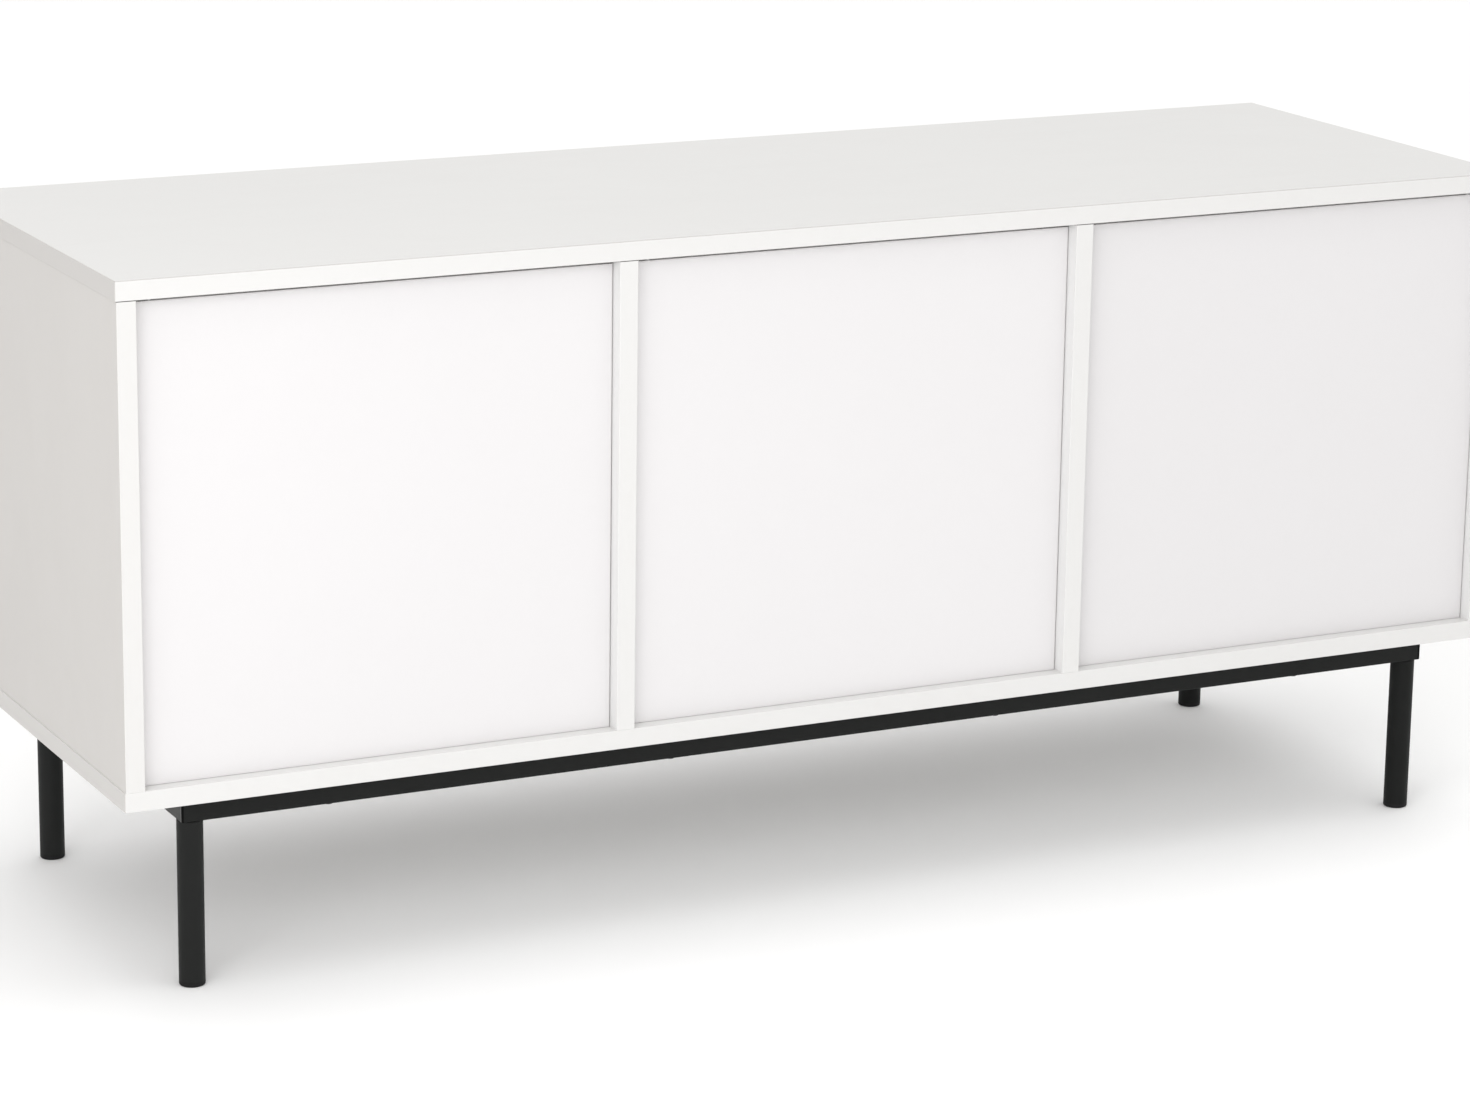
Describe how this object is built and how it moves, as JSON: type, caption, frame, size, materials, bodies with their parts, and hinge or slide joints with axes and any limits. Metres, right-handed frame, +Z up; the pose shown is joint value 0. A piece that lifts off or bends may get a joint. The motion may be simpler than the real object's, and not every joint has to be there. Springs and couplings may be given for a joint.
{
  "type": "tv stand with doors",
  "caption": "Low rectangular white TV stand with plain recessed hinged doors, shelves behind them, and a black square-tube frame on round legs.",
  "frame": {"origin": "on the floor, under the centre of the footprint", "axes": "+X along the width to the viewer's right when facing the doors, +Y towards the back, +Z up; the doors face -Y"},
  "size_m": [1.2, 0.39, 0.545],
  "materials": {
    "white_melamine": "satin white melamine",
    "white_hardboard": "painted white hardboard",
    "black_powder_coat": "fine textured black powder coat",
    "black_plastic": "matt moulded",
    "white_plastic": "matt moulded",
    "grey_plastic": "matt moulded",
    "zinc_steel": "bright zinc plated",
    "zinc_casting": "die-cast zinc",
    "black_screw": "black zinc",
    "nickel": "nickel plated magnet",
    "beech": "bare beech"
  },
  "bodies": {
    "cabinet": {"top_panel": "white_melamine", "bottom_panel": "white_melamine", "left_side_panel": "white_melamine", "right_side_panel": "white_melamine", "divider_left": "white_melamine", "divider_right": "white_melamine", "back_panel_left": "white_hardboard", "back_panel_middle": "white_hardboard", "back_panel_right": "white_hardboard", "shelf_left": "white_melamine", "shelf_middle": "white_melamine", "shelf_right": "white_melamine", "shelf_pins": "zinc_steel", "dowels": "beech", "cam_housings": "zinc_casting", "cam_bolts": "zinc_steel", "confirmat_screws": "zinc_steel", "pivot_bushings": "white_plastic", "latch_body_left": "white_plastic", "latch_body_middle": "white_plastic", "latch_body_right": "white_plastic", "latch_springs": "zinc_steel", "latch_screws": "zinc_steel", "front_rail": "black_powder_coat", "rear_rail": "black_powder_coat", "side_rail_left": "black_powder_coat", "side_rail_right": "black_powder_coat", "leg_front_left": "black_powder_coat", "leg_rear_left": "black_powder_coat", "leg_front_right": "black_powder_coat", "leg_rear_right": "black_powder_coat", "foot_front_left": "black_plastic", "foot_rear_left": "black_plastic", "foot_front_right": "black_plastic", "foot_rear_right": "black_plastic", "leg_studs": "zinc_steel", "leg_nuts": "zinc_steel", "frame_screws": "black_screw"},
    "door_left_leaf": {"door_left": "white_melamine", "pivot_pins_left": "zinc_steel", "strike_plate_left": "zinc_steel"},
    "plunger_left_slider": {"plunger_left": "grey_plastic", "plunger_magnet_left": "nickel"},
    "door_middle_leaf": {"door_middle": "white_melamine", "pivot_pins_middle": "zinc_steel", "strike_plate_middle": "zinc_steel"},
    "plunger_middle_slider": {"plunger_middle": "grey_plastic", "plunger_magnet_middle": "nickel"},
    "door_right_leaf": {"door_right": "white_melamine", "pivot_pins_right": "zinc_steel", "strike_plate_right": "zinc_steel"},
    "plunger_right_slider": {"plunger_right": "grey_plastic", "plunger_magnet_right": "nickel"}
  },
  "joints": [
    {"name": "door_left_hinge", "type": "hinge", "parent": "cabinet", "child": "door_left_leaf", "pos_m": [-0.56975, -0.1795, 0.3475], "axis": [0, 0, -1], "range_deg": [0, 100]},
    {"name": "door_middle_hinge", "type": "hinge", "parent": "cabinet", "child": "door_middle_leaf", "pos_m": [-0.17528, -0.1795, 0.3475], "axis": [0, 0, -1], "range_deg": [0, 100]},
    {"name": "door_right_hinge", "type": "hinge", "parent": "cabinet", "child": "door_right_leaf", "pos_m": [0.56975, -0.1795, 0.3475], "axis": [0, 0, 1], "range_deg": [0, 100]},
    {"name": "plunger_left_press", "type": "slide", "parent": "cabinet", "child": "plunger_left_slider", "axis": [0, 1, 0], "range_m": [0, 0.003], "stiffness_N_per_m": 300, "springref_m": -0.003},
    {"name": "plunger_middle_press", "type": "slide", "parent": "cabinet", "child": "plunger_middle_slider", "axis": [0, 1, 0], "range_m": [0, 0.003], "stiffness_N_per_m": 300, "springref_m": -0.003},
    {"name": "plunger_right_press", "type": "slide", "parent": "cabinet", "child": "plunger_right_slider", "axis": [0, 1, 0], "range_m": [0, 0.003], "stiffness_N_per_m": 300, "springref_m": -0.003}
  ]
}
